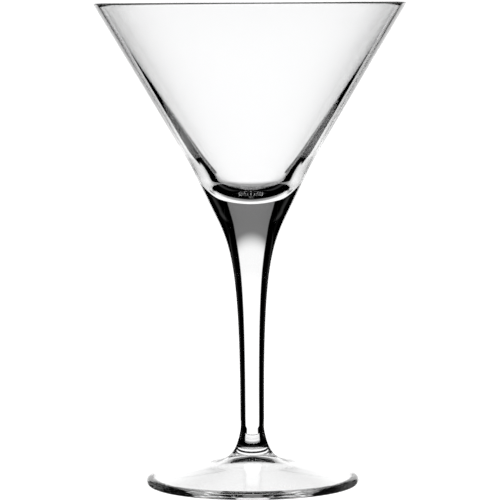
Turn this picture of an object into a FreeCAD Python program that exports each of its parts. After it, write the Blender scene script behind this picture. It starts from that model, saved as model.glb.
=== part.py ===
import FreeCAD, Part

import math
import os

from FreeCAD import Vector

# Martini glass in three pieces of clear glass, fused while hot and lathe-round about Z.
# Sizes are in millimetres and angles in degrees. Z is up, and the origin is the middle of the
# ring that the glass stands on.

# Whole glass
overall_height = 170.0

# Bowl, from the face that is fused to the stem up to the lip
bowl_height = 70.0
rim_diameter = 109.4          # across the outside of the lip
lip_radius = 0.4             # fire-polished edge, fully round
bowl_base_thickness = 2.2     # glass between the fused face and the lowest point of the inside
bowl_bottom_radius = 16.0     # round bottom of the inside
bowl_neck_height = 14.0       # above the fused face, where the outside opens from neck to cone
bowl_neck_blend = 4.0         # length of the blend either side of that break

# Bowl-to-stem joint
bowl_joint_radius = 14.8
bowl_joint_angle = 25.75      # from upright: both outsides leave the joint at this angle

# Stem, between the two joints
stem_radius = 4.22            # at its slimmest
stem_flare_height = 8.0       # from the foot's joint up to the slimmest place
stem_shoulder_share = 0.19    # share of the taper that the shoulder's angle is carried down
stem_taper_share = 0.77       # share of the taper that the slim end is carried up

# Stem-to-foot joint
foot_joint_radius = 4.76
foot_joint_angle = 14.0       # from upright: both outsides leave the joint at this angle

# Foot
foot_height = 17.0            # to the top of its boss
foot_diameter = 75.0
foot_edge_radius = 1.6        # round outer edge
foot_slope = 13.0             # top face, from level
foot_shoulder_radius = 18.0   # where the boss runs out into the sloping top
foot_boss_share = 0.95        # share of the boss's height that its steep side is carried down
foot_shoulder_share = 0.50    # share of the boss's spread that the sloping top is carried in
foot_ring_width = 1.5         # flat ring that the glass stands on
foot_hollow_slope = 12.5      # face underneath, from level, nearly level with the top face
foot_crown_radius = 12.0      # where that face starts to round up into the crown in the middle
foot_crown_height = 8.5       # top of the crown
foot_crown_side_share = 0.50  # share of the crown's radius that the sloping face is carried in
foot_crown_top_share = 0.21   # share of the crown's radius that its level top is carried out


def point(radius, height):
    return Vector(radius, 0, height)


def along(angle):
    """One unit up and outwards, at an angle from upright."""
    return Vector(math.sin(angle), 0, math.cos(angle))


def across(angle):
    """One unit outwards and down, square to along(angle)."""
    return Vector(math.cos(angle), 0, -math.sin(angle))


def flaring(angle):
    """One unit down and outwards, at an angle from upright."""
    return Vector(math.sin(angle), 0, -math.cos(angle))


def line(start, end):
    return Part.LineSegment(start, end).toShape()


def arc(start, middle, end):
    return Part.Arc(start, middle, end).toShape()


def curve(*poles):
    bezier = Part.BezierCurve()
    bezier.setPoles(list(poles))
    return bezier.toShape()


def lathe(edges):
    """Solid of revolution about Z of a closed outline that has one side on the axis."""
    face = Part.Face(Part.Wire(edges))
    return face.revolve(Vector(0, 0, 0), Vector(0, 0, 1), 360)


def tangent_angle(start, centre, offset):
    """Angle from upright of the line from start that passes centre at a distance of offset inside it."""
    reach = centre - start
    return math.atan2(reach.x, reach.z) + math.asin(offset / reach.Length)


def make_bowl():
    """Cone with a round inner bottom, thick at its base, down to the face that the stem is fused to."""
    joint_height = overall_height - bowl_height
    joint_edge = point(bowl_joint_radius, joint_height)
    joint_centre = point(0, joint_height)
    lip = point(rim_diameter / 2 - lip_radius, overall_height - lip_radius)

    neck_angle = math.radians(bowl_joint_angle)
    neck_top = joint_edge + along(neck_angle) * (bowl_neck_height / math.cos(neck_angle))
    outer_angle = tangent_angle(neck_top, lip, lip_radius)
    neck_below = neck_top - along(neck_angle) * bowl_neck_blend
    neck_above = neck_top + along(outer_angle) * bowl_neck_blend

    ball = point(0, joint_height + bowl_base_thickness + bowl_bottom_radius)
    inner_angle = tangent_angle(ball, lip, -(bowl_bottom_radius + lip_radius))
    bottom_start = ball + across(inner_angle) * bowl_bottom_radius
    bottom_middle = ball + across((inner_angle + math.pi / 2) / 2) * bowl_bottom_radius
    floor = point(0, joint_height + bowl_base_thickness)

    lip_outside = lip + across(outer_angle) * lip_radius
    lip_inside = lip - across(inner_angle) * lip_radius
    lip_top = lip + along((outer_angle + inner_angle) / 2) * lip_radius
    return lathe([
        line(joint_centre, joint_edge),
        line(joint_edge, neck_below),
        curve(neck_below, neck_top, neck_above),
        line(neck_above, lip_outside),
        arc(lip_outside, lip_top, lip_inside),
        line(lip_inside, bottom_start),
        arc(bottom_start, bottom_middle, floor),
        line(floor, joint_centre),
    ])


def make_stem():
    """Solid stem: a wide shoulder under the bowl, a long taper, and a slight flare onto the foot."""
    top = point(bowl_joint_radius, overall_height - bowl_height)
    bottom = point(foot_joint_radius, foot_height)
    slim = point(stem_radius, foot_height + stem_flare_height)
    taper = top.z - slim.z
    top_angle = math.radians(bowl_joint_angle)
    bottom_angle = math.radians(foot_joint_angle)
    half_flare = stem_flare_height / 2
    shoulder_end = top - along(top_angle) * (stem_shoulder_share * taper / math.cos(top_angle))
    flare_end = bottom - flaring(bottom_angle) * half_flare
    return lathe([
        line(point(0, top.z), top),
        curve(top, shoulder_end, slim + Vector(0, 0, stem_taper_share * taper), slim),
        curve(slim, slim - Vector(0, 0, half_flare), flare_end, bottom),
        line(bottom, point(0, bottom.z)),
        line(point(0, bottom.z), point(0, top.z)),
    ])


def make_foot():
    """Round foot with a boss in the middle and a hollow underneath, about as thick all over."""
    slope = math.radians(foot_slope)
    edge = point(foot_diameter / 2 - foot_edge_radius, foot_edge_radius)
    edge_top = edge + along(slope) * foot_edge_radius
    edge_side = edge + Vector(foot_edge_radius, 0, 0)
    edge_bottom = edge - Vector(0, 0, foot_edge_radius)
    shoulder_height = edge_top.z + (edge_top.x - foot_shoulder_radius) * math.tan(slope)
    shoulder = point(foot_shoulder_radius, shoulder_height)

    boss_top = point(foot_joint_radius, foot_height)
    boss_angle = math.radians(foot_joint_angle)
    boss_drop = foot_boss_share * (foot_height - shoulder_height)
    boss_end = boss_top + flaring(boss_angle) * (boss_drop / math.cos(boss_angle))
    shoulder_run = foot_shoulder_share * (foot_shoulder_radius - foot_joint_radius)
    shoulder_end = shoulder - across(slope) * (shoulder_run / math.cos(slope))

    ring_inside = edge_bottom - Vector(foot_ring_width, 0, 0)
    hollow_rise = math.tan(math.radians(foot_hollow_slope))
    crown_edge = point(foot_crown_radius, (ring_inside.x - foot_crown_radius) * hollow_rise)
    side_run = foot_crown_side_share * foot_crown_radius
    crown_side = crown_edge + Vector(-side_run, 0, side_run * hollow_rise)
    crown_top = point(0, foot_crown_height)
    crown_level = point(foot_crown_top_share * foot_crown_radius, foot_crown_height)
    return lathe([
        curve(boss_top, boss_end, shoulder_end, shoulder),
        line(shoulder, edge_top),
        arc(edge_top, edge_side, edge_bottom),
        line(edge_bottom, ring_inside),
        line(ring_inside, crown_edge),
        curve(crown_edge, crown_side, crown_level, crown_top),
        line(crown_top, point(0, foot_height)),
        line(point(0, foot_height), boss_top),
    ])


pieces = {"bowl": make_bowl, "stem": make_stem, "foot": make_foot}

os.makedirs("parts", exist_ok=True)
for name, make in pieces.items():
    make().exportStep("parts/" + name + ".step")
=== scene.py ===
import math

import bpy
import numpy as np
from mathutils import Euler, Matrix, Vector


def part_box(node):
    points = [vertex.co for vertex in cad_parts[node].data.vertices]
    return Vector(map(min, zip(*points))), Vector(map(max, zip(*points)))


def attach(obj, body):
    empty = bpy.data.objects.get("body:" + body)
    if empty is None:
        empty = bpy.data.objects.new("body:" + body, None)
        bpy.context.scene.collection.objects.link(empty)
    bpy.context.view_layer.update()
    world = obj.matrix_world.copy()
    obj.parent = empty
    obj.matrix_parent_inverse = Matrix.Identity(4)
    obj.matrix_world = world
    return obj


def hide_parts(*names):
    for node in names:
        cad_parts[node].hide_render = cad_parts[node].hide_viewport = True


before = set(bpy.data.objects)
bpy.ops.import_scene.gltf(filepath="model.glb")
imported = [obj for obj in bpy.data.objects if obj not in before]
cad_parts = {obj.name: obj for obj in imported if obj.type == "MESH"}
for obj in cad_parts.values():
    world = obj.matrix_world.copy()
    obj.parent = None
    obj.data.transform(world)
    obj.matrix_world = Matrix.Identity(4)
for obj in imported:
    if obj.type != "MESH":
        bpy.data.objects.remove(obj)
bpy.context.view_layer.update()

bowlLow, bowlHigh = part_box("bowl")
stemLow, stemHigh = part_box("stem")
footLow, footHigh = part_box("foot")
mm = 0.001
segmentsAround = 288


# Outlines are rows of (radius, height) in metres, and angles are in radians.
# These three are directions in that plane.
def along(angle):
    return np.array([math.sin(angle), math.cos(angle)])  # up and outwards, the angle away from upright


def across(angle):
    return np.array([math.cos(angle), -math.sin(angle)])  # outwards and down, the angle below level


def flaring(angle):
    return np.array([math.sin(angle), -math.cos(angle)])  # down and outwards, the angle away from upright


def straight(start, end, step):
    count = max(2, math.ceil(np.linalg.norm(end - start) / step) + 1)
    return start + np.linspace(0, 1, count)[:, None] * (end - start)


def arc(centre, radius, fromAngle, toAngle, step):
    # angles turn from outwards, 0, down to straight below, a quarter turn
    count = max(4, math.ceil(abs(toAngle - fromAngle) * radius / step) + 1)
    turn = np.linspace(fromAngle, toAngle, count)[:, None]
    return centre + radius * np.hstack([np.cos(turn), -np.sin(turn)])


def curve(poles, step):
    # a Bezier curve through the first and the last pole
    poles = np.array(poles)
    degree = len(poles) - 1
    length = np.linalg.norm(np.diff(poles, axis=0), axis=1).sum()
    t = np.linspace(0, 1, max(4, math.ceil(length / step) + 1))[:, None]
    return sum(
        math.comb(degree, i) * (1 - t) ** (degree - i) * t ** i * poles[i] for i in range(degree + 1)
    )


def tangentAngle(start, centre, offset):
    # from upright, of the line from start that passes centre at a distance of offset
    reach = centre - start
    return math.atan2(reach[0], reach[1]) + math.asin(offset / np.linalg.norm(reach))


def outline(*stretches):
    rows = [stretches[0]]
    for stretch in stretches[1:]:
        rows.append(stretch[1:])
    return np.vstack(rows)


def ringPoints(rings):
    # the first and the last ring are single points on the axis
    turn = np.linspace(0, 2 * math.pi, segmentsAround, endpoint=False)
    points = [(0, 0, rings[0][1])]
    for radius, height in rings[1:-1]:
        points += [(radius * math.cos(t), radius * math.sin(t), height) for t in turn]
    points.append((0, 0, rings[-1][1]))
    return points


def ringFaces(ringCount):
    count = segmentsAround
    start = [1 + ring * count for ring in range(ringCount)]
    last = start[-1] + count
    following = [(i + 1) % count for i in range(count)]
    faces = [(0, start[0] + j, start[0] + i) for i, j in enumerate(following)]
    for low, high in zip(start, start[1:]):
        faces += [(low + i, low + j, high + j, high + i) for i, j in enumerate(following)]
    faces += [(start[-1] + i, start[-1] + j, last) for i, j in enumerate(following)]
    return faces


def sharpenRings(mesh, corners):
    def ringOf(vertex):
        return (vertex - 1) // segmentsAround + 1

    flags = np.zeros(len(mesh.edges), bool)
    for edge in mesh.edges:
        ring, other = map(ringOf, edge.vertices)
        flags[edge.index] = ring == other and ring in corners
    mesh.attributes.new("sharp_edge", "BOOLEAN", "EDGE").data.foreach_set("value", flags)


# One closed mesh turned about Z. Each section is an outline and its material's number. It starts
# where the last one ended, at a real corner.
def lathe(name, sections):
    rings = [sections[0][0][0]]
    bandMaterials = []
    corners = set()
    for rows, number in sections:
        if bandMaterials:
            corners.add(len(rings) - 1)
        rings += list(rows[1:])
        bandMaterials += [number] * (len(rows) - 1)
    mesh = bpy.data.meshes.new(name)
    faces = ringFaces(len(rings) - 2)
    mesh.from_pydata(ringPoints(rings), [], faces)
    mesh.polygons.foreach_set("use_smooth", [True] * len(faces))
    mesh.polygons.foreach_set("material_index", np.repeat(bandMaterials, segmentsAround))
    sharpenRings(mesh, corners)
    mesh.update()
    piece = bpy.data.objects.new(name, mesh)
    bpy.context.scene.collection.objects.link(piece)
    return piece


bowlMakes = {
    "lipRadius": 0.4 * mm,
    "bottomRadius": 16.0 * mm,
    "baseThickness": 2.2 * mm,
    "neckHeight": 14.0 * mm,
    "neckBlend": 4.0 * mm,
    "jointAngle": math.radians(25.75),
    "wallStep": 1.0 * mm,
    "bendStep": 0.35 * mm,
    "lipStep": 0.12 * mm,
    "fusedStep": 4.0 * mm,
}


def makeBowl():
    m = bowlMakes
    jointHeight = bowlLow.z
    jointEdge = np.array([stemHigh.x, jointHeight])
    lip = np.array([bowlHigh.x - m["lipRadius"], bowlHigh.z - m["lipRadius"]])
    neckTop = jointEdge + along(m["jointAngle"]) * m["neckHeight"] / math.cos(m["jointAngle"])
    outerAngle = tangentAngle(neckTop, lip, m["lipRadius"])
    neckBelow = neckTop - along(m["jointAngle"]) * m["neckBlend"]
    neckAbove = neckTop + along(outerAngle) * m["neckBlend"]
    ball = np.array([0, jointHeight + m["baseThickness"] + m["bottomRadius"]])
    innerAngle = tangentAngle(ball, lip, -(m["bottomRadius"] + m["lipRadius"]))
    lipOutside = lip + across(outerAngle) * m["lipRadius"]
    lipInside = lip - across(innerAngle) * m["lipRadius"]
    ballSide = ball + across(innerAngle) * m["bottomRadius"]
    wall = outline(
        straight(jointEdge, neckBelow, m["bendStep"]),
        curve([neckBelow, neckTop, neckAbove], m["bendStep"]),
        straight(neckAbove, lipOutside, m["wallStep"]),
        arc(lip, m["lipRadius"], outerAngle, innerAngle - math.pi, m["lipStep"]),
        straight(lipInside, ballSide, m["wallStep"]),
        arc(ball, m["bottomRadius"], innerAngle, math.pi / 2, m["bendStep"]),
    )
    fused = straight(np.array([0, jointHeight]), jointEdge, m["fusedStep"])
    return lathe("glass_bowl", [(fused, 1), (wall, 0)])


stemMakes = {
    "radius": 4.22 * mm,
    "flareHeight": 8.0 * mm,
    "flareEndRadius": 4.76 * mm,
    "flareEndAngle": math.radians(14),
    "shoulderShare": 0.19,  # of the taper's height: how far the shoulder keeps its angle
    "taperShare": 0.77,  # of the same height: how far the slim end stays upright
    "step": 0.35 * mm,
    "fusedStep": 3.5 * mm,
}


def makeStem():
    m = stemMakes
    topAngle = bowlMakes["jointAngle"]  # it meets the bowl's neck without a kink
    top = np.array([stemHigh.x, stemHigh.z])
    bottom = np.array([m["flareEndRadius"], stemLow.z])
    slim = np.array([m["radius"], stemLow.z + m["flareHeight"]])
    taper = top[1] - slim[1]
    shoulder = top - along(topAngle) * m["shoulderShare"] * taper / math.cos(topAngle)
    halfFlare = m["flareHeight"] / 2
    up = np.array([0, 1])
    flareEnd = bottom - flaring(m["flareEndAngle"]) * halfFlare
    side = outline(
        curve([top, shoulder, slim + up * m["taperShare"] * taper, slim], m["step"]),
        curve([slim, slim - up * halfFlare, flareEnd, bottom], m["step"]),
    )
    topFace = straight(np.array([0, top[1]]), top, m["fusedStep"])
    bottomFace = straight(bottom, np.array([0, bottom[1]]), m["fusedStep"])
    return lathe("glass_stem", [(bottomFace[::-1], 1), (side[::-1], 0), (topFace[::-1], 1)])


footMakes = {
    "edgeRadius": 1.6 * mm,
    "slope": math.radians(13.0),
    "shoulderRadius": 18.0 * mm,
    "bossShare": 0.95,  # of the drop from the boss to the shoulder
    "shoulderShare": 0.50,  # of the run between them
    "ringWidth": 1.5 * mm,
    "hollowSlope": math.radians(12.5),
    "crownRadius": 12.0 * mm,
    "crownHeight": 8.5 * mm,
    "crownSideShare": 0.50,  # of the crown's radius, as the next one is
    "crownTopShare": 0.21,
    "bendStep": 0.35 * mm,
    "edgeStep": 0.12 * mm,
    "coneStep": 0.7 * mm,
    "fusedStep": 3.5 * mm,
}


def makeFoot():
    m = footMakes
    edge = np.array([footHigh.x - m["edgeRadius"], footLow.z + m["edgeRadius"]])
    edgeTop = edge + along(m["slope"]) * m["edgeRadius"]
    shoulderHeight = edgeTop[1] + (edgeTop[0] - m["shoulderRadius"]) * math.tan(m["slope"])
    shoulder = np.array([m["shoulderRadius"], shoulderHeight])
    bossTop = np.array([stemMakes["flareEndRadius"], footHigh.z])
    bossAngle = stemMakes["flareEndAngle"]
    bossDrop = m["bossShare"] * (bossTop[1] - shoulder[1])
    bossSide = bossTop + flaring(bossAngle) * bossDrop / math.cos(bossAngle)
    shoulderRun = m["shoulderShare"] * (shoulder[0] - bossTop[0])
    shoulderSide = shoulder - across(m["slope"]) * shoulderRun / math.cos(m["slope"])
    ringOutside = np.array([edge[0], footLow.z])
    ringInside = np.array([edge[0] - m["ringWidth"], footLow.z])
    rise = math.tan(m["hollowSlope"])
    crownEdge = np.array([m["crownRadius"], ringInside[1] + (ringInside[0] - m["crownRadius"]) * rise])
    sideRun = m["crownSideShare"] * m["crownRadius"]
    crownSide = crownEdge + np.array([-sideRun, sideRun * rise])
    crownTop = np.array([0, footLow.z + m["crownHeight"]])
    crownLevel = np.array([m["crownTopShare"] * m["crownRadius"], crownTop[1]])
    side = outline(
        curve([crownTop, crownLevel, crownSide, crownEdge], m["bendStep"]),
        straight(crownEdge, ringInside, m["coneStep"]),
        straight(ringInside, ringOutside, m["bendStep"]),
        arc(edge, m["edgeRadius"], math.pi / 2, m["slope"] - math.pi / 2, m["edgeStep"]),
        straight(edgeTop, shoulder, m["coneStep"]),
        curve([shoulder, shoulderSide, bossSide, bossTop], m["bendStep"]),
    )
    fused = straight(bossTop, np.array([0, bossTop[1]]), m["fusedStep"])
    return lathe("glass_foot", [(side, 0), (fused, 1)])


# Clear soda glass. The ripple is what pressing, spinning and drawing leave on the surface.
glassLooks = {
    "tint": (0.995, 0.996, 0.998, 1),
    "ior": 1.52,
    "haze": 0.006,  # the most roughness that handling leaves
    "rippleDetail": 1.5,
    "rippleRoughness": 0.4,
    "scuffScale": 900,
    "scuffDetail": 4,
    "scuffFrom": 0.42,
    "scuffTo": 0.68,
}
ripples = {
    "bowl": {"waves": 38, "upright": 2.2, "depth": 0.015 * mm},  # spun: waves run round
    "stem": {"waves": 210, "upright": 0.12, "depth": 0.004 * mm},  # drawn: long streaks
    "foot": {"waves": 70, "upright": 1.0, "depth": 0.02 * mm},  # pressed
}
ringWear = {
    "height": 0.25 * mm,
    "roughness": 0.35,
}


def linkMath(tree, operation, a, b):
    node = tree.nodes.new("ShaderNodeMath")
    node.operation = operation
    for socket, value in zip(node.inputs, (a, b)):
        if isinstance(value, (int, float)):
            socket.default_value = value
        else:
            tree.links.new(value, socket)
    return node.outputs[0]


def linkRamp(tree, value, low, high, atLow, atHigh):
    ramp = tree.nodes.new("ShaderNodeMapRange")
    ramp.interpolation_type = "SMOOTHSTEP"
    for name, number in (("From Min", low), ("From Max", high), ("To Min", atLow), ("To Max", atHigh)):
        ramp.inputs[name].default_value = number
    tree.links.new(value, ramp.inputs["Value"])
    return ramp.outputs[0]


def makeSurfaceGroup():
    m = glassLooks
    group = bpy.data.node_groups.new("glassSurface", "ShaderNodeTree")
    face = group.interface
    face.new_socket("Waves", in_out="INPUT", socket_type="NodeSocketFloat")
    face.new_socket("Upright", in_out="INPUT", socket_type="NodeSocketFloat")
    face.new_socket("Ripple", in_out="OUTPUT", socket_type="NodeSocketFloat")
    face.new_socket("Rub", in_out="OUTPUT", socket_type="NodeSocketFloat")
    nodes = group.nodes
    links = group.links
    given = nodes.new("NodeGroupInput")
    result = nodes.new("NodeGroupOutput")
    place = nodes.new("ShaderNodeTexCoord")
    stretch = nodes.new("ShaderNodeCombineXYZ")
    stretch.inputs["X"].default_value = 1
    stretch.inputs["Y"].default_value = 1
    links.new(given.outputs["Upright"], stretch.inputs["Z"])
    scaled = nodes.new("ShaderNodeVectorMath")
    scaled.operation = "MULTIPLY"
    links.new(place.outputs["Object"], scaled.inputs[0])
    links.new(stretch.outputs[0], scaled.inputs[1])
    wave = nodes.new("ShaderNodeTexNoise")
    wave.inputs["Detail"].default_value = m["rippleDetail"]
    wave.inputs["Roughness"].default_value = m["rippleRoughness"]
    links.new(scaled.outputs[0], wave.inputs["Vector"])
    links.new(given.outputs["Waves"], wave.inputs["Scale"])
    links.new(wave.outputs["Fac"], result.inputs["Ripple"])
    scuff = nodes.new("ShaderNodeTexNoise")
    scuff.inputs["Scale"].default_value = m["scuffScale"]
    scuff.inputs["Detail"].default_value = m["scuffDetail"]
    links.new(place.outputs["Object"], scuff.inputs["Vector"])
    rub = linkRamp(group, scuff.outputs["Fac"], m["scuffFrom"], m["scuffTo"], 0, 1)
    links.new(rub, result.inputs["Rub"])
    return group


def linkRingWear(tree, marks):
    # the ring that the foot stands on is scuffed
    place = tree.nodes.new("ShaderNodeTexCoord")
    split = tree.nodes.new("ShaderNodeSeparateXYZ")
    tree.links.new(place.outputs["Object"], split.inputs[0])
    near = linkRamp(tree, split.outputs["Z"], 0, ringWear["height"], ringWear["roughness"], 0)
    return linkMath(tree, "MULTIPLY", marks.outputs["Rub"], near)


def makeGlass(node, surface):
    m = ripples[node]
    glass = bpy.data.materials.new(node + "Glass")
    glass.use_nodes = True
    tree = glass.node_tree
    shader = tree.nodes["Principled BSDF"]
    shader.inputs["Base Color"].default_value = glassLooks["tint"]
    shader.inputs["Transmission Weight"].default_value = 1
    shader.inputs["IOR"].default_value = glassLooks["ior"]
    marks = tree.nodes.new("ShaderNodeGroup")
    marks.node_tree = surface
    marks.inputs["Waves"].default_value = m["waves"]
    marks.inputs["Upright"].default_value = m["upright"]
    bump = tree.nodes.new("ShaderNodeBump")
    bump.inputs["Distance"].default_value = m["depth"]
    tree.links.new(marks.outputs["Ripple"], bump.inputs["Height"])
    tree.links.new(bump.outputs["Normal"], shader.inputs["Normal"])
    rough = linkMath(tree, "MULTIPLY", marks.outputs["Rub"], glassLooks["haze"])
    if node == "foot":
        rough = linkMath(tree, "MAXIMUM", rough, linkRingWear(tree, marks))
    tree.links.new(rough, shader.inputs["Roughness"])
    return glass


def makeFused():
    # light crosses a fused face as if it weren't there
    fused = bpy.data.materials.new("fusedFace")
    fused.use_nodes = True
    shader = fused.node_tree.nodes["Principled BSDF"]
    shader.inputs["Alpha"].default_value = 0
    return fused


surface = makeSurfaceGroup()
fusedFace = makeFused()
for makePiece, node in ((makeBowl, "bowl"), (makeStem, "stem"), (makeFoot, "foot")):
    piece = makePiece()
    piece.data.materials.append(makeGlass(node, surface))
    piece.data.materials.append(fusedFace)
    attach(piece, "root")
    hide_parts(node)
    print(node, "made")


cameraMakes = {
    "lens": 227.5,
    "sensor": 36,
    "distance": 1108.3 * mm,
    "height": 172.3 * mm,
    "pitch": math.radians(4.60),
    "roll": math.radians(0.35),
    "side": -0.45 * mm,
    "nearest": 0.05,
    "farthest": 20,
}


def makeCamera():
    m = cameraMakes
    data = bpy.data.cameras.new("camera")
    data.lens = m["lens"]
    data.sensor_width = m["sensor"]
    data.clip_start = m["nearest"]
    data.clip_end = m["farthest"]
    camera = bpy.data.objects.new("camera", data)
    bpy.context.scene.collection.objects.link(camera)
    camera.location = (m["side"], -m["distance"], m["height"])
    look = Euler((math.pi / 2 - m["pitch"], 0, 0)).to_quaternion()
    camera.rotation_mode = "QUATERNION"
    camera.rotation_quaternion = look @ Euler((0, 0, -m["roll"])).to_quaternion()
    bpy.context.scene.camera = camera
    return camera


camera = makeCamera()
print("camera made")


# The glass sees one opening of light behind it. Angles are as the glass sees them: up or down from
# the horizon, or sideways from the middle.
studioMakes = {
    "white": 1.2,
    "upperWhite": 1.05,
    "grey": 0.21,
    "dim": 0.3,
    "horizon": (math.radians(2), math.radians(10)),
    "fadeUp": (math.radians(15), math.radians(30)),
    "fadeDown": (math.radians(21), math.radians(38), math.radians(66)),
    "openHalf": math.radians(25),
    "openSoft": math.radians(1.5),
    "widening": 0.12,  # of the height
    "notch": (math.radians(8), math.radians(16), math.radians(23), math.radians(29)),
    "notchDepth": 0.12,  # of the distance
    "strip": (math.radians(50), math.radians(60), math.radians(68)),
    "stripLight": 0.035,
    "backdropDistance": 1.0,
    "backdropHalf": 3.0,
    "backdropMiddle": 85 * mm,
    "floorHalf": 3.0,
    "floorDrop": 0.1 * mm,
    "glassBounces": 200,
    "seeThroughBounces": 40,
}


def makeGlow(name):
    material = bpy.data.materials.new(name)
    material.use_nodes = True
    tree = material.node_tree
    tree.nodes.clear()
    out = tree.nodes.new("ShaderNodeOutputMaterial")
    glow = tree.nodes.new("ShaderNodeEmission")
    tree.links.new(glow.outputs[0], out.inputs[0])
    return material, glow.inputs["Strength"]


def makePanel(name, corners, material):
    mesh = bpy.data.meshes.new(name)
    mesh.from_pydata(corners, [], [tuple(range(len(corners)))])
    mesh.materials.append(material)
    thing = bpy.data.objects.new(name, mesh)
    bpy.context.scene.collection.objects.link(thing)
    return thing


def onBackdrop(angles):
    return [studioMakes["backdropDistance"] * math.tan(angle) for angle in angles]


def linkHeightLight(tree, up):
    # white at the horizon, grey high up, and darker in two steps below
    m = studioMakes
    upperStart, upperEnd = onBackdrop(m["fadeUp"])
    upper = linkRamp(tree, up, upperStart, upperEnd, m["upperWhite"], m["grey"])
    glareStart, glareEnd = onBackdrop(m["horizon"])
    glare = linkRamp(tree, up, glareStart, glareEnd, m["white"] - m["upperWhite"], 0)
    lowerStart, lowerMiddle, lowerEnd = onBackdrop(m["fadeDown"])
    firstStep = linkRamp(tree, up, -lowerMiddle, -lowerStart, 0, 1 - m["dim"])
    secondStep = linkRamp(tree, up, -lowerEnd, -lowerMiddle, 0, m["dim"])
    lower = linkMath(tree, "ADD", firstStep, secondStep)
    return linkMath(tree, "MULTIPLY", linkMath(tree, "ADD", upper, glare), lower)


def linkSideLight(tree, up, side):
    # 1 inside the opening, which widens upwards and has a notch below the horizon
    m = studioMakes
    notchTop, notchFull, notchEase, notchEnd = onBackdrop(m["notch"])
    notchWidth = m["notchDepth"] * m["backdropDistance"]
    upperHalf = linkRamp(tree, up, -notchFull, -notchTop, notchWidth, 0)
    lowerHalf = linkRamp(tree, up, -notchEnd, -notchEase, 0, 1)
    notch = linkMath(tree, "MULTIPLY", upperHalf, lowerHalf)
    widening = linkMath(tree, "MULTIPLY", linkMath(tree, "MAXIMUM", up, 0), m["widening"])
    outwards = linkMath(tree, "SUBTRACT", linkMath(tree, "ADD", side, notch), widening)
    inner, outer = onBackdrop((m["openHalf"] - m["openSoft"], m["openHalf"] + m["openSoft"]))
    return linkRamp(tree, outwards, inner, outer, 1, 0)


def linkStripLight(tree, side):
    # a faint strip far out on both sides
    m = studioMakes
    start, middle, end = onBackdrop(m["strip"])
    rising = linkRamp(tree, side, start, middle, 0, m["stripLight"])
    falling = linkRamp(tree, side, middle, end, 1, 0)
    return linkMath(tree, "MULTIPLY", rising, falling)


def makeBackdropLight():
    material, strength = makeGlow("backdropLight")
    tree = material.node_tree
    place = tree.nodes.new("ShaderNodeTexCoord")
    split = tree.nodes.new("ShaderNodeSeparateXYZ")
    tree.links.new(place.outputs["Object"], split.inputs[0])
    up = split.outputs["Z"]
    side = linkMath(tree, "ABSOLUTE", split.outputs["X"], 0)
    opening = linkMath(tree, "MULTIPLY", linkHeightLight(tree, up), linkSideLight(tree, up, side))
    tree.links.new(linkMath(tree, "ADD", opening, linkStripLight(tree, side)), strength)
    return material


def makeBackdrop():
    # it turns with the camera, so it is behind the glass in every view
    m = studioMakes
    pivot = bpy.data.objects.new("turntable", None)
    bpy.context.scene.collection.objects.link(pivot)
    pivot.location = (0, 0, m["backdropMiddle"])
    track = pivot.constraints.new("TRACK_TO")
    track.target = camera
    track.track_axis = "TRACK_NEGATIVE_Y"
    track.up_axis = "UP_Z"
    half = m["backdropHalf"]
    y = m["backdropDistance"]
    corners = [(-half, y, -half), (half, y, -half), (half, y, half), (-half, y, half)]
    backdrop = makePanel("backdrop", corners, makeBackdropLight())
    backdrop.parent = pivot
    backdrop.visible_camera = False


def makeFloor():
    # plain white to the camera, and the glass doesn't pick it up
    m = studioMakes
    paleFloor, strength = makeGlow("paleFloor")
    strength.default_value = m["white"]
    half = m["floorHalf"]
    z = -m["floorDrop"]
    corners = [(-half, -half, z), (half, -half, z), (half, half, z), (-half, half, z)]
    floor = makePanel("floor", corners, paleFloor)
    floor.visible_transmission = False
    floor.visible_glossy = False


def makeAir():
    world = bpy.data.worlds.new("studioAir")
    bpy.context.scene.world = world
    world.use_nodes = True
    air = world.node_tree.nodes["Background"]
    air.inputs["Strength"].default_value = studioMakes["white"]
    air.inputs["Color"].default_value = (1, 1, 1, 1)
    world.cycles_visibility.transmission = False
    world.cycles_visibility.glossy = False
    world.cycles_visibility.diffuse = False


def setLightPaths():
    # light turns back many times inside thick glass, and too low a limit leaves black patches
    m = studioMakes
    cycles = bpy.context.scene.cycles
    cycles.max_bounces = m["glassBounces"]
    cycles.transmission_bounces = m["glassBounces"]
    cycles.glossy_bounces = m["glassBounces"]
    cycles.transparent_max_bounces = m["seeThroughBounces"]
    cycles.use_denoising = True
    bpy.context.scene.view_settings.view_transform = "Standard"


makeBackdrop()
makeFloor()
makeAir()
setLightPaths()
print("studio made")
